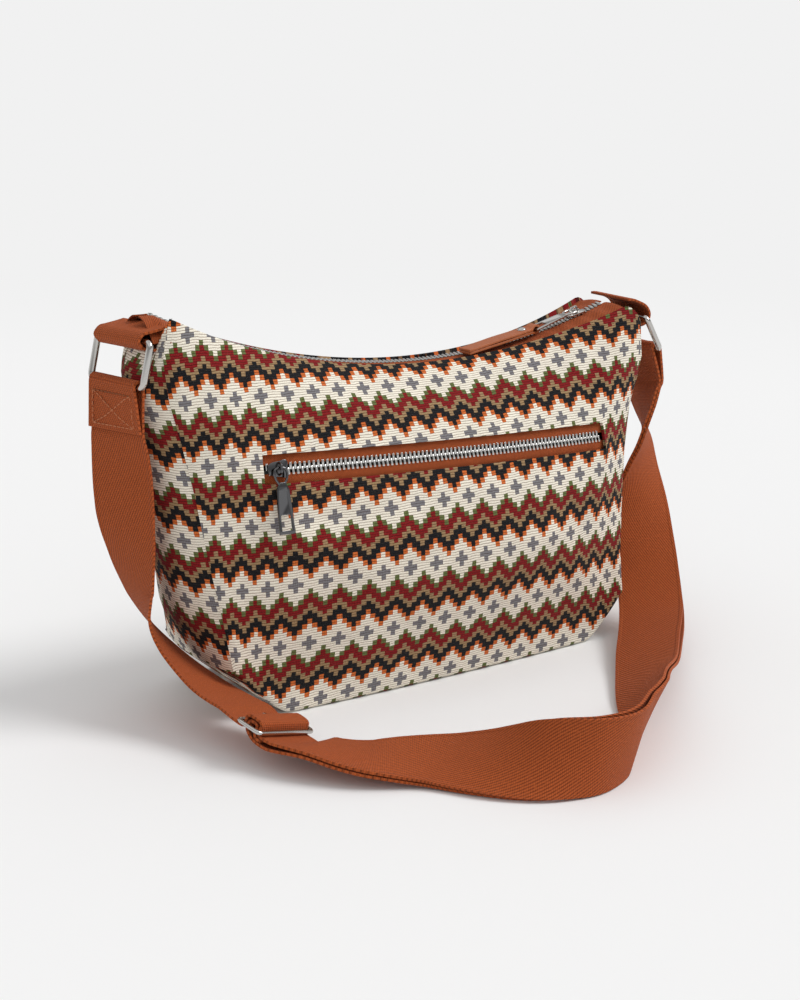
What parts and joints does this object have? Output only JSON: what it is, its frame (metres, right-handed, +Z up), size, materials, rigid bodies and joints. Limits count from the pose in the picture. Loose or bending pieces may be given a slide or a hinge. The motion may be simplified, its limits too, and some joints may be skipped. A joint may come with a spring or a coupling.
{
  "type": "crossbody bag",
  "caption": "Slouchy woven cloth crossbody bag with a zigzag and cross pattern, zipped top, zipped front pocket and a webbing strap lying in front of it.",
  "frame": {"origin": "centre of the flat base, where it rests on the floor", "axes": "+Z up, the pocket side faces -Y, +X towards the right hand of a viewer who faces the pocket"},
  "size_m": [0.3621, 0.262, 0.2084],
  "materials": {
    "woven_cloth": "matte patterned weave",
    "webbing": "matte ribbed webbing",
    "zip_tape": "matte twill tape",
    "leather": "smooth satin",
    "lining_cloth": "plain matte",
    "nickel": "polished nickel",
    "gunmetal": "polished dark nickel"
  },
  "bodies": {
    "bag": {"front_panel": "woven_cloth", "back_panel": "woven_cloth", "left_gusset": "woven_cloth", "right_gusset": "woven_cloth", "lining": "lining_cloth", "pocket_pouch": "lining_cloth", "top_tape_front": "zip_tape", "top_tape_back": "zip_tape", "top_teeth_front": "nickel", "top_teeth_back": "nickel", "pocket_tape_upper": "zip_tape", "pocket_tape_lower": "zip_tape", "pocket_teeth_upper": "gunmetal", "pocket_teeth_lower": "gunmetal", "left_tab": "webbing", "right_tab": "webbing", "strap": "webbing", "adjuster": "nickel"},
    "top_slider": {"top_slider": "nickel"},
    "top_pull_plate": {"top_pull_plate": "nickel"},
    "top_pull_leather": {"top_pull_leather": "leather", "top_pull_rivet": "nickel"},
    "pocket_slider": {"pocket_slider": "gunmetal"},
    "pocket_pull": {"pocket_pull": "gunmetal"},
    "left_ring": {"left_ring": "nickel"},
    "right_ring": {"right_ring": "nickel"}
  },
  "joints": [
    {"name": "top_zip", "type": "hinge", "parent": "bag", "child": "top_slider", "pos_m": [0.015, 0, 0.5395], "axis": [0, 1, 0], "range_deg": [0, 39.5]},
    {"name": "top_pull_pivot", "type": "hinge", "parent": "top_slider", "child": "top_pull_plate", "pos_m": [0.11798, 0, 0.18688], "axis": [-0.0872, 0.9962, 0], "range_deg": [0, 130]},
    {"name": "leather_pivot", "type": "hinge", "parent": "top_pull_plate", "child": "top_pull_leather", "pos_m": [0.08697, -0.00271, 0.17946], "axis": [-0.0872, 0.9962, 0], "range_deg": [0, 50]},
    {"name": "pocket_zip", "type": "hinge", "parent": "bag", "child": "pocket_slider", "pos_m": [0, 1.1646, 0.1263], "axis": [0.0454, 0, 0.999], "range_deg": [0, 9.5]},
    {"name": "pocket_pull_pivot", "type": "hinge", "parent": "pocket_slider", "child": "pocket_pull", "pos_m": [-0.10216, -0.04337, 0.13164], "axis": [-0.9954, 0.0844, 0.0452], "range_deg": [0, 150]},
    {"name": "left_ring_pivot", "type": "hinge", "parent": "bag", "child": "left_ring", "pos_m": [-0.164, 0, 0.197], "axis": [-0.2201, 0.9755, 0], "range_deg": [0, 60], "deforming": ["strap"]},
    {"name": "right_ring_pivot", "type": "hinge", "parent": "bag", "child": "right_ring", "pos_m": [0.1565, 0, 0.182], "axis": [-0.0499, -0.9988, 0], "range_deg": [0, 60], "deforming": ["strap"]}
  ]
}
